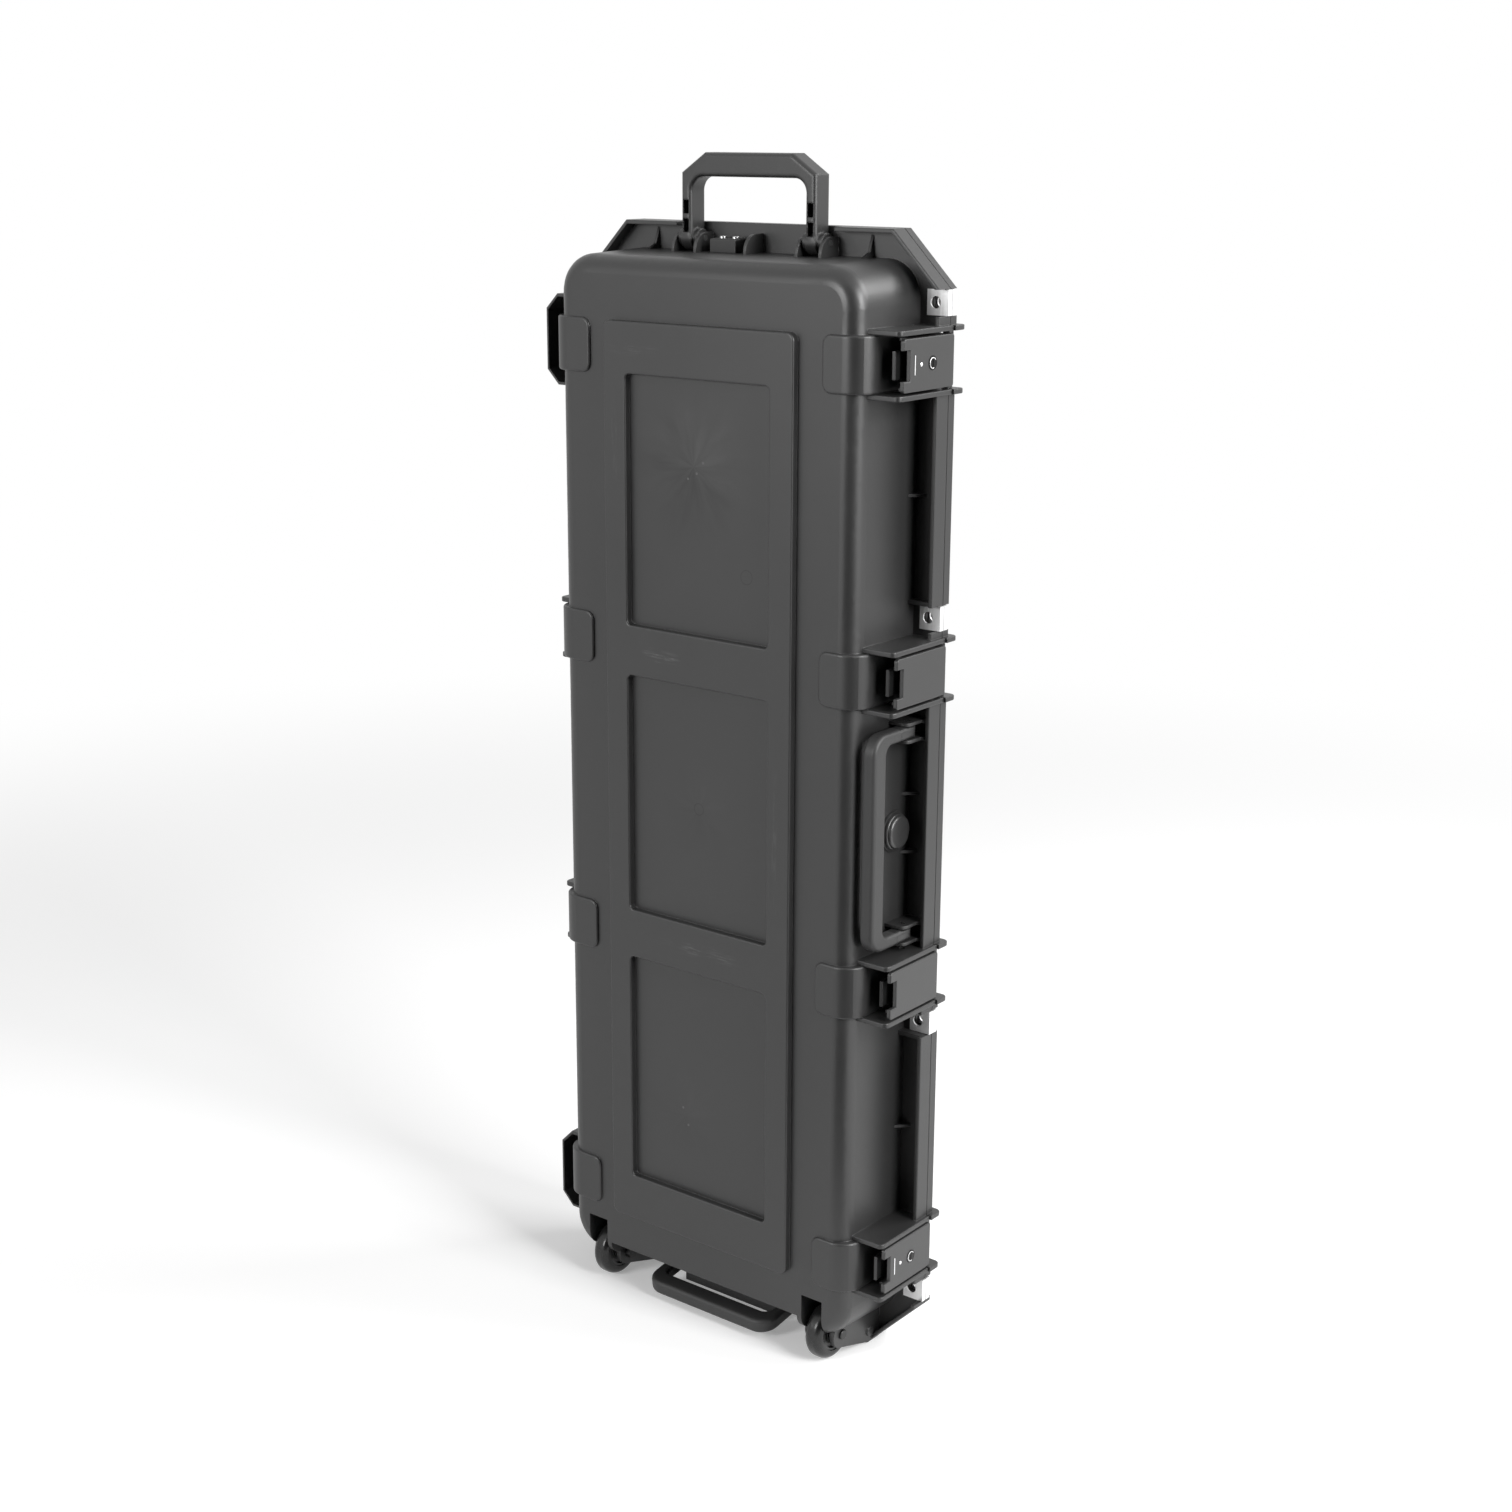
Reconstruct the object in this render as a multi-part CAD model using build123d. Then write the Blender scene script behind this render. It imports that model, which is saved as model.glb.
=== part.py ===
from build123d import *

import os
from math import sqrt

# A wheeled hard case for an electric guitar, standing on its wheel end.
# X is to the right, Z is up, and Y runs from the deep half's front to the lid's back.
# Depths are counted from the front of the raised frame. When a piece is saved, it is
# moved so that the origin is the middle of the case's outline, on the floor.
# All lengths are in millimetres, and the case is the same left and right unless a name says so.

# Clearances
seat_gap = 0.1          # between fixed curved faces that seat on each other
running_gap = 0.05      # radial room round a pin that something turns on
side_gap = 0.5          # beside a part that turns between two ears
soft_gap = 0.4          # foam to its neighbours
overrun = 3.0           # how far a cutting body runs past what it opens

# Rim where the two halves meet
rim_height = 1148.0
rim_extra = 4.5                 # how much further the rim reaches at its foot than at its head
rim_half_width = 218.0
rim_corner_cut = 53.5
inset_cut_share = 2 - sqrt(2)   # what a 45 degree corner loses when its outline moves in
lip_thick = 4.0
lip_round = 1.4
web_thick = 4.6
seam = 109.0
seam_opening = 0.8
base_lip_depth = 18.6
lid_lip_depth = 11.0

# Walls of both halves
wall = 4.0
side_channel = 30.0             # from the rim's outside to the tub, at the long sides
end_channel = 32.0              # the same at the foot
tub_corner = 38.0
tub_face = 7.5
tub_draft = 3.0
tub_edge = 18.0
lid_depth = 42.0
lid_draft = 1.5
lid_edge = 15.0

# Raised frame with its sunken panels, on both faces
frame_side = 70.2               # from the tub's side to the frame
frame_end = 94.0                # from the rim's end to the frame
frame_corner = 8.0
frame_round = 1.8
panel_count = 3
panel_side = 28.3
panel_margin = 51.0
panel_gap = 52.0
panel_sink = 10.0
panel_corner = 5.0
panel_floor_round = 2.4
lid_frame_rise = 5.0
lid_panel_sink = 7.5

# Latch bays on the right side
latch_end = 120.5               # from the rim's end to the outer latches
latch_inner = 156.5
bay_half = 27.0
bay_step = 11.0
fin_thick = 5.0
fin_proud = 4.0
fin_start = 23.0
fin_round = 6.0
fin_soft = 1.0
lid_fin_proud = 2.0
lid_fin_depth = 18.6
pad_side = 6.0
pad_wrap = 41.0
pad_proud = 3.0
pad_corner = 24.0
pad_inner_corner = 9.5
pad_round = 2.2

# Hinge side
left_pad_wrap = 48.0
left_fin_proud = 15.0
foot_half_height = 46.0
foot_cut = 15.0
foot_front = 31.0
foot_round = 1.5
foot_wall = 3.0
foot_hollow = 50.0
foot_drop = 15.0                # how much lower than its latch the lower foot stands
hinge_radius = 5.0
hinge_pin_radius = 2.5
hinge_end = 204.0               # from the rim's end to the outer hinges
knuckle_count = 5
knuckle_length = 9.0
hinge_pin_end = 1.6

# Small ribs that brace the rim
gusset_thick = 3.0
gusset_wall = 14.0
gusset_web = 12.0
gusset_side_levels = (325.0, 30.0)
gusset_end_place = 132.0
gusset_end_wall = 20.0
gusset_end_web = 21.0
gusset_waist_share = 0.32
brace_thick = 4.0
brace_past = 14.5               # beyond the two middle padlock plates

# Padlock plates
lock_end = 68.0                 # from the rim's end to the outer plates
lock_inner = 207.5
lock_hole_inset = 12.4
lock_hole_radius = 5.75
lock_plate_depth = 22.0
lock_plate_half = 12.0
lock_plate_thick = 1.6
lock_slot_half = 8.0
lock_slot_ledge = 2.6           # what the plate seats on beside its slot

# Seal
gasket_inset = 5.5
gasket_width = 4.0
gasket_sink = 2.8
gasket_side = 0.5

# Latches
latch_half = 24.5
latch_length = 82.0
latch_past = 2.0                # beyond the seam
latch_plate = 4.0
latch_corner = 3.0
latch_round = 1.1
latch_notch_depth = 10.0
latch_notch_half = 14.0
latch_cheek = 3.0
latch_cheek_depth = 16.0
latch_cheek_start = 15.0
latch_pivot_depth = 10.0
latch_pivot_past = 6.0          # beyond the seam
latch_barrel = 5.0
latch_pin_radius = 2.0
hook_thick = 6.2
hook_behind = 0.8
hook_half = 20.0
hook_clear = 0.5

# Triggers in the latches
trigger_depth = 11.0
trigger_place = 33.0            # from the latch's free end to the trigger's pin
trigger_boss = 3.5
trigger_half = 13.0
trigger_pin_radius = 1.5
trigger_tip = 31.0
trigger_bend = 22.0
trigger_thick = 3.2
trigger_lean = 3.0
spring_wire = 0.45
spring_radius = 2.3
spring_turns = 4
spring_start = 14.2
spring_pitch = 1.4

# Key locks in the top and bottom latches
key_place = 46.3                # from the latch's free end to the lock
key_radius = 6.6
key_proud = 0.4
key_boss = 9.4
key_boss_depth = 13.0
key_stub_radius = 3.0
key_cam_thick = 3.0
key_cam_gap = 0.4
key_cam_half = 2.6
key_cam_length = 8.0
key_slot_half = 0.6
key_slot_reach = 4.2
key_slot_depth = 2.0

# Side handle, folded flat
side_handle_half = 110.0
side_handle_arm = 53.5
side_handle_out = 12.0
pivot_lead = 30.0               # from the carry handles' pivots to the seam
arm_width = 13.0
grip_depth = 21.0
grip_thick = 16.0
grip_round = 4.5
grip_skin = 3.5
grip_split = 33.0
handle_corner = 20.0
handle_inner_corner = 9.0
handle_pin_radius = 3.0
ear_thick = 3.2
ear_lead = 12.0
ear_past = 9.0
ear_round = 8.0
tow_ear_round = 16.0

# Bottom handle, hanging in a recess between the wheels
bottom_handle_half = 84.0
bottom_handle_arm = 57.0
bottom_droop = 8.5
bottom_pivot_drop = 7.5
bottom_ear_drop = 10.5
recess_height = 19.5
skirt_thick = 4.0
skirt_clear = 3.0               # from the skirt to the floor

# Tow handle, standing
tow_half = 82.6
tow_leg = 12.5
tow_pivot_lead = 18.0
tow_pivot_rise = 12.6
tow_half_depth = 12.0
tow_height = 81.9
tow_grip = 23.0
tow_corner_x = 29.0
tow_corner_z = 19.0
tow_inner_round = 14.0
tow_round = 4.0
tow_window_half = 3.6
tow_window_deep = 17.0
tow_window_height = 13.0
tow_window_bar = 5.0
tow_window_rise = 36.4
tow_barrel = 9.0
tow_ear_inner = 61.0
tow_ear_outer = 89.0
tow_ear_lead = 15.0
tow_ear_rise = 18.0
tow_gap_half = 97.0
stop_left = 48.0
stop_right = 16.0
stop_lead = 27.0
stop_height = 13.0
stop_screw_radius = 3.6
stop_screw_head = 2.0
stop_round = 2.0

# Wheels
wheel_inset = 41.5
wheel_y = 37.0
wheel_radius = 30.0
wheel_half = 10.5
tread_round = 8.0
tyre_inner = 20.0
hub_half = 9.5
hub_dish = 3.0
hub_dish_outer = 17.5
hub_boss = 13.5
bearing_outer = 11.0
bearing_width = 7.0
axle_radius = 4.0
axle_head_radius = 5.5
axle_head = 2.5
axle_nut_radius = 7.5
axle_nut = 6.0
nut_sides = 6
bolt_round = 1.0
well_side = 2.5
well_room = 4.0
well_head = 17.0
cheek_thick = 5.5
cheek_lobe = 15.0
rear_lobe = 12.5
rear_lobe_lead = 23.0
rear_boss_radius = 5.5
rear_boss_proud = 2.0

# Pressure valve
valve_lead = 32.0
valve_drop = 4.75
valve_radius = 18.5
valve_seat_radius = 20.5
valve_seat_proud = 1.5
valve_body = 4.0
valve_cap_radius = 17.0
valve_cap = 3.4
valve_cap_round = 3.0
valve_stem_radius = 8.0
valve_stem = 12.0
valve_nut_radius = 14.0
valve_nut = 4.0
valve_round = 1.6

# Foam, cut for the guitar
foam_near = 14.0
foam_corner = 33.0
pocket_floor = 45.0
neck_floor = 55.0
lower_bout_side = 30.0
lower_bout_rise = 224.5
upper_bout_side = 58.0
upper_bout_rise = 168.0
neck_half = 38.0
head_half = 62.0
head_length = 188.0
head_margin = 68.0
pocket_corner = 12.0
cradle_rise = 220.0
cradle_length = 120.0
cradle_thick = 7.0
lid_foam_start = 3.0

# Places that follow from the sizes above
mid = (rim_height + rim_extra) / 2
base_seat = seam - seam_opening / 2
lid_seat = seam + seam_opening / 2
web_front = base_seat - web_thick
web_back = lid_seat + web_thick
lip_front = base_seat - base_lip_depth
lip_back = lid_seat + lid_lip_depth
tub_half_width = rim_half_width - side_channel
tub_half_height = mid - end_channel
tub_top = mid + tub_half_height
tub_bottom = mid - tub_half_height
lid_face = seam + lid_depth
lid_back = lid_face + lid_frame_rise
frame_half_width = tub_half_width - frame_side
frame_height = rim_height - 2 * frame_end
panel_half_width = frame_half_width - panel_side
panel_height = (frame_height - 2 * panel_margin - (panel_count - 1) * panel_gap) / panel_count
bay_ledge = tub_half_width + bay_step
fin_reach = rim_half_width + fin_proud
lid_fin_reach = fin_reach + lid_fin_proud
left_fin_reach = tub_half_width + left_fin_proud
pad_reach = tub_half_width + pad_side
pad_inner = tub_half_width - pad_wrap
left_pad_inner = tub_half_width - left_pad_wrap
pad_front = tub_face - pad_proud
latch_outer = rim_height / 2 - latch_end
latch_levels = [mid + latch_outer, mid + latch_inner, mid - latch_inner, mid - latch_outer]
keyed_latches = (0, len(latch_levels) - 1)
lock_outer = rim_height / 2 - lock_end
lock_levels = [mid + lock_outer, mid + lock_inner, mid - lock_inner, mid - lock_outer]
lock_hole_x = rim_half_width - lock_hole_inset
lock_plate_inner = rim_half_width - lock_plate_depth
lock_slot_inner = lock_plate_inner + lock_slot_ledge
brace_place = lock_inner + brace_past
foot_levels = [latch_levels[0], latch_levels[-1] - foot_drop]
hinge_outer = rim_height / 2 - hinge_end
hinge_levels = [mid + hinge_outer, mid + latch_inner, mid - latch_inner, mid - hinge_outer]
hinge_x = hinge_radius - lid_fin_reach
hinge_half = (knuckle_count * knuckle_length + (knuckle_count - 1) * side_gap) / 2
latch_far = seam + latch_past
latch_near = latch_far - latch_length
latch_cheek_near = latch_near + latch_cheek_start
latch_cheek_inner = fin_reach - latch_cheek_depth
latch_pivot_x = fin_reach - latch_pivot_depth
latch_pivot_y = seam + latch_pivot_past
hook_far = web_front - hook_behind
hook_near = hook_far - hook_thick
trigger_pivot_x = fin_reach - trigger_depth
trigger_pivot_y = latch_near + trigger_place
key_y = latch_near + key_place
key_boss_inner = fin_reach - key_boss_depth
side_pivot_y = seam - pivot_lead
side_handle_x = tub_half_width + side_handle_out
side_handle_y = side_pivot_y - side_handle_arm
ear_near = side_pivot_y - ear_lead
ear_reach = side_handle_x + ear_past
bottom_pivot_y = side_pivot_y
bottom_pivot_z = tub_bottom - bottom_pivot_drop
bottom_ear_reach = bottom_pivot_z - bottom_ear_drop
recess_top = tub_bottom + recess_height
tow_pivot_y = seam - tow_pivot_lead
tow_pivot_z = tub_top + tow_pivot_rise
tow_top = tow_pivot_z + tow_height
tow_window_top = tow_pivot_z + tow_window_rise
tow_ear_near = tow_pivot_y - tow_ear_lead
tow_ear_top = tub_top + tow_ear_rise
stop_near = seam - stop_lead
wheel_x = tub_half_width - wheel_inset
wheel_z = wheel_radius
rear_lobe_y = seam - rear_lobe_lead
rear_lobe_z = rear_lobe
valve_y = seam - valve_lead
valve_z = mid - valve_drop
valve_seat = tub_half_width + valve_seat_proud
lower_bout_radius = tub_half_width - lower_bout_side
lower_bout_z = tub_bottom + lower_bout_rise
upper_bout_radius = tub_half_width - upper_bout_side
upper_bout_z = lower_bout_z + upper_bout_rise
head_end_z = tub_top - head_margin
neck_end_z = head_end_z - head_length
cradle_low = upper_bout_z + cradle_rise
cradle_high = cradle_low + cradle_length
lid_foam_near = seam + lid_foam_start
middle_depth = lid_back / 2
edge_start = tub_half_width + side_gap
head_start = tub_top + side_gap


# Shared shapes
def front_plane(depth):
    return Plane(origin=(0, depth, 0), x_dir=(1, 0, 0), z_dir=(0, -1, 0))


def side_plane(x):
    return Plane(origin=(x, 0, 0), x_dir=(0, 1, 0), z_dir=(1, 0, 0))


def level_plane(z):
    return Plane(origin=(0, 0, z), x_dir=(1, 0, 0), z_dir=(0, 0, 1))


def span(x_pair, y_pair, z_pair):
    centre = [(pair[0] + pair[1]) / 2 for pair in (x_pair, y_pair, z_pair)]
    size = [abs(pair[1] - pair[0]) for pair in (x_pair, y_pair, z_pair)]
    return Pos(*centre) * Box(*size)


def about(centre, half):
    return (centre - half, centre + half)


def deep(outline, near, far):
    return extrude(front_plane(near) * outline, amount=near - far)


def across(outline, left, right):
    return extrude(side_plane(left) * outline, amount=right - left)


def upright(outline, low, high):
    return extrude(level_plane(low) * outline, amount=high - low)


def rod_z(x, y, radius, low, high):
    return upright(Pos(x, y) * Circle(radius), low, high)


def rod_x(y, z, radius, left, right):
    return across(Pos(y, z) * Circle(radius), left, right)


def closed(points):
    # A flat outline whose face looks along the drawing plane's own direction
    following = points[1:] + points[:1]
    turn = sum(a[0] * b[1] - b[0] * a[1] for a, b in zip(points, following))
    return Polygon(*(points if turn > 0 else points[::-1]), align=None)


def both_sides(shape):
    return [shape, mirror(shape, about=Plane.YZ)]


def end_edges(shape, axis, place):
    return shape.edges().filter_by_position(axis, place - running_gap, place + running_gap)


# Outlines seen from the front
def rim_outline(inset):
    half = rim_half_width - inset
    low = inset
    high = rim_height - inset
    cut = rim_corner_cut - inset * inset_cut_share
    right = [(half - cut, low), (half, low + cut), (half, high - cut), (half - cut, high)]
    left = [(-x, z) for x, z in reversed(right)]
    return closed(right + left)


def tub_outline(half_width, half_height, corner):
    return Pos(0, mid) * RectangleRounded(2 * half_width, 2 * half_height, corner)


def panel_outlines(grow):
    shapes = []
    for index in range(panel_count):
        centre = mid + (index - (panel_count - 1) / 2) * (panel_height + panel_gap)
        width = 2 * (panel_half_width + grow)
        height = panel_height + 2 * grow
        shapes.append(Pos(0, centre) * RectangleRounded(width, height, panel_corner + grow))
    return shapes


# Each half begins as a drafted tub with a rounded edge round its face
def tub_block(inset, face, mouth, draft, edge):
    half_width = tub_half_width - inset
    half_height = tub_half_height - inset
    corner = tub_corner - inset
    small = front_plane(face) * tub_outline(half_width - draft, half_height - draft, corner)
    large = front_plane(mouth) * tub_outline(half_width, half_height, corner)
    body = loft([small, large])
    return fillet(end_edges(body, Axis.Y, face), edge)


def base_tub(inset):
    return tub_block(inset, tub_face + inset, base_seat, tub_draft, tub_edge - inset)


def lid_tub(inset):
    return tub_block(inset, lid_face - inset, lid_seat, lid_draft, lid_edge - inset)


def raised_frame(front, back, floor):
    outline = tub_outline(frame_half_width, frame_height / 2, frame_corner)
    block = deep(outline, min(front, back), max(front, back))
    away = front - overrun if back > front else front + overrun
    for panel in panel_outlines(0):
        block -= deep(panel, min(away, floor), max(away, floor))
    block = fillet(end_edges(block, Axis.Y, front), frame_round)
    return fillet(end_edges(block, Axis.Y, floor), panel_floor_round)


def frame_hollow(front, back, floor_back):
    inner = tub_outline(frame_half_width - wall, frame_height / 2 - wall, frame_corner - wall / 2)
    space = deep(inner, min(front, back), max(front, back))
    for panel in panel_outlines(wall):
        space -= deep(panel, min(front, back) - overrun, max(front, back) + overrun)
    return space


# The rim is a web all round with a lip turned along its edge
def rim_block(web_face, lip_edge, seat):
    near, far = min(lip_edge, seat), max(lip_edge, seat)
    block = deep(rim_outline(0), near, far)
    block = fillet(end_edges(block, Axis.Y, lip_edge), lip_round)
    away = lip_edge - overrun if seat > lip_edge else lip_edge + overrun
    return block - deep(rim_outline(lip_thick), min(away, web_face), max(away, web_face))


def bay_cuts(near, far):
    sides = (bay_ledge, rim_half_width + overrun)
    return [span(sides, (near - overrun, far + overrun), about(z, bay_half)) for z in latch_levels]


def lock_cuts(web_near, web_far, lip_near, lip_far):
    out = rim_half_width + overrun
    cuts = []
    for z in lock_levels:
        web = (web_near - overrun, web_far + overrun)
        cuts.append(span((lock_slot_inner, out), web, about(z, lock_slot_half)))
        lip_from = rim_half_width - lip_thick - overrun
        cuts.append(span((lip_from, out), (lip_near, lip_far), about(z, lock_plate_half + side_gap)))
    return cuts


# Hinge on the left edge, with the halves' knuckles taking turns
def knuckle_spans(first):
    spans = []
    for level in hinge_levels:
        for index in range(first, knuckle_count, 2):
            low = level - hinge_half + index * (knuckle_length + side_gap)
            spans.append((low, low + knuckle_length))
    return spans


def knuckles(first, seat):
    edge = lip_thick - rim_half_width
    arm_far = seam - hinge_radius if seat < seam else seam + hinge_radius
    shapes = []
    for low, high in knuckle_spans(first):
        shapes.append(rod_z(hinge_x, seam, hinge_radius, low, high))
        shapes.append(span((hinge_x, edge), (seat, arm_far), (low, high)))
    return shapes


def knuckle_room(first):
    radius = hinge_radius + side_gap
    ends = [(low - side_gap, high + side_gap) for low, high in knuckle_spans(first)]
    return [rod_z(hinge_x, seam, radius, low, high) for low, high in ends]


def hinge_bores(radius):
    room = hinge_half + overrun
    return [rod_z(hinge_x, seam, radius, z - room, z + room) for z in hinge_levels]


# Fins above and below each latch
def fin_outline(reach, near, far, wall_side, cut):
    points = [(wall_side, near), (reach, near), (reach, far), (wall_side, far)]
    outline = closed(points)
    corner = near if cut < seam else far
    vertices = [v for v in outline.vertices() if abs(v.X - reach) < overrun and abs(v.Y - corner) < overrun]
    return fillet(vertices, fin_round)


def fins(reach, near, far, levels, corner_at, sign):
    outline = fin_outline(reach, near, far, tub_half_width - wall, corner_at)
    shapes = []
    for level in levels:
        for side in (-1, 1):
            low = level + side * bay_half - (fin_thick if side < 0 else 0)
            fin = upright(outline, low, low + fin_thick)
            edges = fin.edges().filter_by_position(Axis.X, tub_half_width, reach + overrun)
            fin = fillet(edges.filter_by(GeomType.LINE).filter_by(Axis.Z, reverse=True), fin_soft)
            shapes.append(fin if sign > 0 else mirror(fin, about=Plane.YZ))
    return shapes


# Pads that wrap round the tub's long corners at each latch level
def corner_pad(inner, back, level):
    pad = span((inner, pad_reach), (pad_front, back), about(level, bay_half))
    pad = fillet(pad.edges().filter_by(Axis.Y).sort_by(Axis.X)[:2], pad_inner_corner)
    long_corner = pad.edges().filter_by(Axis.Z).sort_by(lambda e: e.center().X - e.center().Y)[-1]
    pad = fillet(long_corner, pad_corner)
    visible = pad.edges().filter_by_position(Axis.Y, pad_front - overrun, pad_front + pad_corner)
    ends = [e for e in visible if abs(abs(e.center().Z - level) - bay_half) < overrun]
    return fillet(ends, pad_round)


def side_pads():
    shapes = []
    for level in latch_levels:
        shapes.append(corner_pad(pad_inner, base_seat, level))
        shapes.append(mirror(corner_pad(left_pad_inner, base_seat, level), about=Plane.YZ))
    return shapes


def foot_outline(inset, inner):
    half = foot_half_height - inset
    reach = fin_reach - inset
    cut = foot_cut - inset * inset_cut_share
    points = [(-inner, half), (cut - reach, half), (-reach, half - cut)]
    lower = [(x, -z) for x, z in reversed(points)]
    return closed(points + lower)


def feet():
    # Stubs with cut corners, hollow from the front
    full, hollow = foot_outline(0, tub_half_width - wall), foot_outline(foot_wall, tub_half_width)
    shapes = []
    for level in foot_levels:
        foot = deep(Pos(0, level) * full, foot_front, lip_front + lip_thick)
        foot = fillet(end_edges(foot, Axis.Y, foot_front), foot_round)
        shapes.append(foot - deep(Pos(0, level) * hollow, foot_front - overrun, foot_front + foot_hollow))
    return shapes


# Small three-cornered ribs in the rim's channel
def gussets():
    inner = tub_half_width - wall / 2
    points = [(inner, web_front - gusset_wall), (tub_half_width + gusset_web, web_front)]
    outline = closed(points + [(inner, web_front + wall / 2)])
    shapes = []
    for place in gusset_side_levels:
        for z in (mid + place, mid - place):
            shapes += both_sides(upright(outline, z - gusset_thick / 2, z + gusset_thick / 2))
    top = tub_top - wall / 2
    waist = (web_front - gusset_waist_share * gusset_end_wall, top + gusset_waist_share * gusset_end_web)
    end_points = [(web_front - gusset_end_wall, top), waist, (web_front, tub_top + gusset_end_web)]
    end_points.append((web_front + wall / 2, top))
    end_outline = closed(end_points)
    for x in (-gusset_end_place, gusset_end_place):
        shapes.append(across(end_outline, x - gusset_thick / 2, x + gusset_thick / 2))
    return shapes


def braces():
    # Full ribs across the channel, just past the two middle padlock plates
    shapes = []
    for z in (mid + brace_place, mid - brace_place):
        sides = (tub_half_width - wall / 2, rim_half_width - lip_thick / 2)
        brace = span(sides, (lip_front + lip_thick, web_front), about(z, brace_thick / 2))
        shapes += both_sides(brace)
    return shapes


# Ears that carry the three handles
def rounded_ear(points, corner, radius):
    outline = closed(points)
    near = overrun
    vertices = [v for v in outline.vertices() if abs(v.X - corner[0]) < near and abs(v.Y - corner[1]) < near]
    return fillet(vertices, radius)


def ear_pairs(outer_end):
    gap = side_gap
    inside = outer_end - arm_width - gap
    outside = outer_end + gap
    return [(inside - ear_thick, inside), (outside, outside + ear_thick)]


def side_ears():
    lip_inner = rim_half_width - lip_thick
    inner = tub_half_width - wall
    points = [(inner, ear_near), (ear_reach, ear_near), (ear_reach, lip_front)]
    points += [(lip_inner, lip_front + ear_thick), (lip_inner, web_front), (inner, web_front)]
    outline = rounded_ear(points, (ear_reach, ear_near), ear_round)
    shapes = []
    for low, high in ear_pairs(side_handle_half):
        shapes.append(upright(outline, valve_z + low, valve_z + high))
        shapes.append(upright(outline, valve_z - high, valve_z - low))
    return shapes


def bottom_ears():
    top = recess_top + wall / 2
    points = [(ear_near, top), (ear_near, bottom_ear_reach), (lip_front, bottom_ear_reach)]
    points += [(web_front, lip_thick), (web_front, top)]
    outline = rounded_ear(points, (ear_near, bottom_ear_reach), ear_round)
    shapes = []
    for low, high in ear_pairs(bottom_handle_half):
        shapes += both_sides(across(outline, low, high))
    return shapes


def skirt():
    # A rib that joins the bottom handle's two inner ears
    half = ear_pairs(bottom_handle_half)[0][1] - ear_thick / 2
    return span(about(0, half), about(ear_near, skirt_thick / 2), (skirt_clear, recess_top + wall / 2))


def tow_ears():
    low = tub_top - wall
    points = [(tow_ear_near, low), (tow_ear_near, tow_ear_top), (web_front, tow_ear_top), (web_front, low)]
    outline = rounded_ear(points, (tow_ear_near, tow_ear_top), tow_ear_round)
    shapes = [across(outline, -ear_thick / 2, ear_thick / 2)]
    for left in (tow_ear_inner, tow_ear_outer):
        shapes += both_sides(across(outline, left, left + ear_thick))
    return shapes


# Wheel housings: a well in each lower corner, with cheeks that hold the axle
def cheek_outline():
    top = tub_bottom + wall
    low = rear_lobe_z - rear_lobe
    points = [(wheel_y, wheel_z + cheek_lobe), (web_front, top), (web_front, low), (rear_lobe_y, low)]
    points.append((wheel_y, wheel_z - cheek_lobe))
    shape = closed(points) + Pos(wheel_y, wheel_z) * Circle(cheek_lobe)
    return shape + Pos(rear_lobe_y, rear_lobe_z) * Circle(rear_lobe)


def well_sides():
    half = wheel_half + well_side
    return (wheel_x - half, wheel_x + half)


def wheel_cheeks():
    inner, outer = well_sides()
    outline = cheek_outline()
    outer_cheek = across(outline, outer, outer + cheek_thick)
    inner_cheek = across(outline, inner - cheek_thick, inner)
    boss = rod_x(rear_lobe_y, rear_lobe_z, rear_boss_radius, outer, outer + cheek_thick + rear_boss_proud)
    boss = fillet(end_edges(boss, Axis.X, outer + cheek_thick + rear_boss_proud), bolt_round)
    return both_sides(outer_cheek + boss) + both_sides(inner_cheek)


def wheel_wells(grow):
    inner, outer = well_sides()
    back = wheel_y + wheel_radius + well_room + grow
    top = wheel_z + wheel_radius + well_head + grow
    near = wheel_y - wheel_radius - overrun
    low = -wheel_radius
    return both_sides(span((inner - grow, outer + grow), (near, back), (low, top)))


def recess(grow, back):
    # Room for a hand above the bottom handle, between the two inner cheeks
    half = well_sides()[0] - cheek_thick + grow
    return span(about(0, half), (-overrun, back), (-overrun, recess_top + grow))


def pin_bores():
    radius = handle_pin_radius + seat_gap
    reach = arm_width + ear_thick + overrun
    low, high = side_handle_half - reach, side_handle_half + reach
    bores = [rod_z(side_handle_x, side_pivot_y, radius, valve_z + low, valve_z + high)]
    bores.append(rod_z(side_handle_x, side_pivot_y, radius, valve_z - high, valve_z - low))
    low, high = bottom_handle_half - reach, bottom_handle_half + reach
    bores += both_sides(rod_x(bottom_pivot_y, bottom_pivot_z, radius, low, high))
    tow_far = tow_ear_outer + ear_thick + overrun
    bores += both_sides(rod_x(tow_pivot_y, tow_pivot_z, radius, tow_ear_inner - overrun, tow_far))
    inner, outer = well_sides()
    reach = cheek_thick + overrun
    bores += both_sides(rod_x(wheel_y, wheel_z, axle_radius + seat_gap, inner - reach, outer + reach))
    stem = valve_stem_radius + seat_gap
    bores.append(rod_x(valve_y, valve_z, stem, tub_half_width - 2 * wall, valve_seat + overrun))
    return bores


def gasket_ring(side, near, far):
    half_width = tub_half_width + gasket_inset
    half_height = tub_half_height + gasket_inset
    corner = tub_corner + gasket_inset
    grow = gasket_width / 2 + side
    large = tub_outline(half_width + grow, half_height + grow, corner + grow)
    small = tub_outline(half_width - grow, half_height - grow, corner - grow)
    return deep(large, near, far) - deep(small, near - overrun, far + overrun)


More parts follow.
